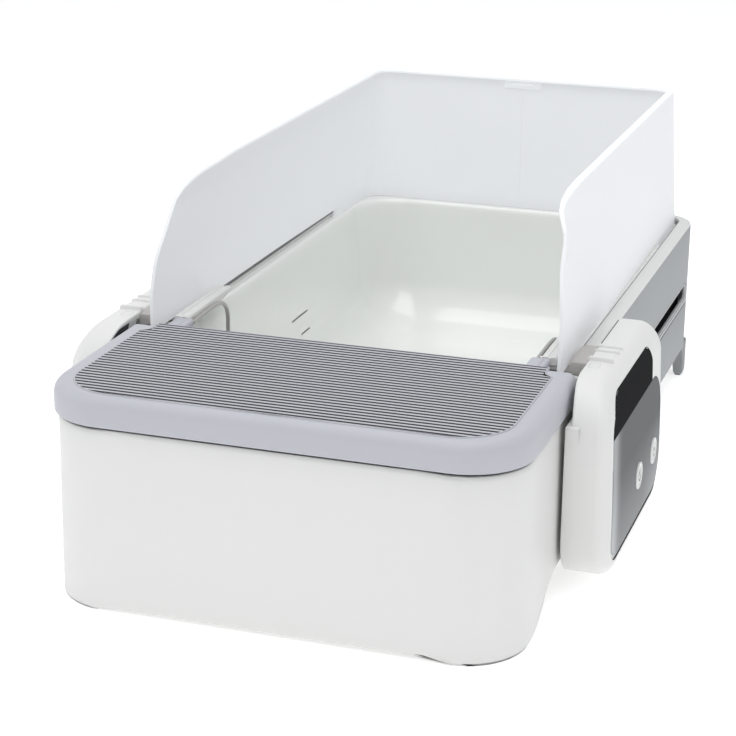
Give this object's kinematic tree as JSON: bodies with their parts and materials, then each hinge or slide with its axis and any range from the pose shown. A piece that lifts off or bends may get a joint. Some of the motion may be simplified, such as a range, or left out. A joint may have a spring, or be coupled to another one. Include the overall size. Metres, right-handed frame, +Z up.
{
  "type": "self-cleaning litter box",
  "caption": "Open-topped self-cleaning litter box with a rake drawn by a rail-guided carriage, a waste bin under a step lid and a clear guard.",
  "frame": {"origin": "on the floor under the middle of the base", "axes": "+X to the right seen from the front, +Y to the rear, +Z up"},
  "size_m": [0.4852, 0.787, 0.312],
  "materials": {
    "white_shell": "satin",
    "inner_plastic": "matt",
    "tray_white": "glossy",
    "lid_grey": "matt",
    "mat_grey": "matt",
    "panel_silver": "satin",
    "face_silver": "brushed",
    "window_black": "glossy",
    "guard_frosted": "frosted",
    "button_white": "satin",
    "board_green": "matt",
    "pad_rubber": "matt",
    "socket_black": "matt",
    "steel": "drawn",
    "drive_plastic": "matt",
    "motor_metal": "satin"
  },
  "bodies": {
    "base": {"chassis": "white_shell", "foot_pads": "pad_rubber", "dc_socket": "socket_black", "litter_tray": "tray_white", "front_housing": "white_shell", "waste_bin": "inner_plastic", "rail_right": "white_shell", "rail_left": "white_shell", "side_panel_right": "panel_silver", "side_panel_left": "panel_silver", "rack_right": "drive_plastic", "rack_left": "drive_plastic"},
    "lid": {"lid_frame": "lid_grey", "step_mat": "mat_grey", "lid_hinge_pins": "steel"},
    "guard": {"guard_right": "guard_frosted", "guard_left": "guard_frosted", "guard_clip": "guard_frosted"},
    "carriage": {"pod_shell_right": "white_shell", "pod_shell_left": "white_shell", "pod_inner_cover_right": "inner_plastic", "pod_inner_cover_left": "inner_plastic", "gear_motor_right": "motor_metal", "gear_motor_left": "motor_metal", "guide_shoes_right": "drive_plastic", "guide_shoes_left": "drive_plastic", "bridge_right": "white_shell", "bridge_left": "white_shell", "bridge_plate_right": "steel", "bridge_plate_left": "steel", "rake_carrier_right": "inner_plastic", "rake_carrier_left": "inner_plastic", "rake_arm_right": "steel", "rake_arm_left": "steel", "control_panel": "face_silver", "sensor_window": "window_black", "pod_outer_panel_left": "inner_plastic", "circuit_board": "board_green"},
    "rake": {"rake_shaft": "steel", "rake_tines": "steel"},
    "power_button": {"power_button": "button_white"},
    "clean_button": {"clean_button": "button_white"},
    "catch_right": {"release_catch_right": "white_shell"},
    "catch_left": {"release_catch_left": "white_shell"},
    "pinion_right": {"drive_pinion_right": "drive_plastic"},
    "pinion_left": {"drive_pinion_left": "drive_plastic"}
  },
  "joints": [
    {"name": "lid_hinge", "type": "hinge", "parent": "base", "child": "lid", "pos_m": [0, -0.3902, 0.1613], "axis": [1, 0, 0], "range_deg": [0, 70]},
    {"name": "guard_lift", "type": "slide", "parent": "base", "child": "guard", "axis": [0, 0, 1], "range_m": [0, 0.08]},
    {"name": "carriage_travel", "type": "slide", "parent": "base", "child": "carriage", "axis": [0, 1, 0], "range_m": [0, 0.39]},
    {"name": "rake_turn", "type": "hinge", "parent": "carriage", "child": "rake", "pos_m": [0, -0.0845, 0.136], "axis": [1, 0, 0], "range_deg": [0, 114]},
    {"name": "power_press", "type": "slide", "parent": "carriage", "child": "power_button", "axis": [-1, 0, 0], "range_m": [0, 0.0012], "stiffness_N_per_m": 400, "springref_m": -0.001},
    {"name": "clean_press", "type": "slide", "parent": "carriage", "child": "clean_button", "axis": [-1, 0, 0], "range_m": [0, 0.0012], "stiffness_N_per_m": 400, "springref_m": -0.001},
    {"name": "catch_right_slide", "type": "slide", "parent": "carriage", "child": "catch_right", "axis": [0, 1, 0], "range_m": [0, 0.006]},
    {"name": "catch_left_slide", "type": "slide", "parent": "carriage", "child": "catch_left", "axis": [0, 1, 0], "range_m": [0, 0.006]},
    {"name": "pinion_right_spin", "type": "hinge", "parent": "carriage", "child": "pinion_right", "pos_m": [0.189, -0.1135, 0.104], "axis": [1, 0, 0], "range_deg": [-2760, 0]},
    {"name": "pinion_left_spin", "type": "hinge", "parent": "carriage", "child": "pinion_left", "pos_m": [-0.189, -0.1135, 0.104], "axis": [1, 0, 0], "range_deg": [-2760, 0]}
  ],
  "couplings": [
    {"joint": "pinion_right_spin", "follows": "carriage_travel", "rad_per_m": -123.08},
    {"joint": "pinion_left_spin", "follows": "carriage_travel", "rad_per_m": -123.08}
  ]
}
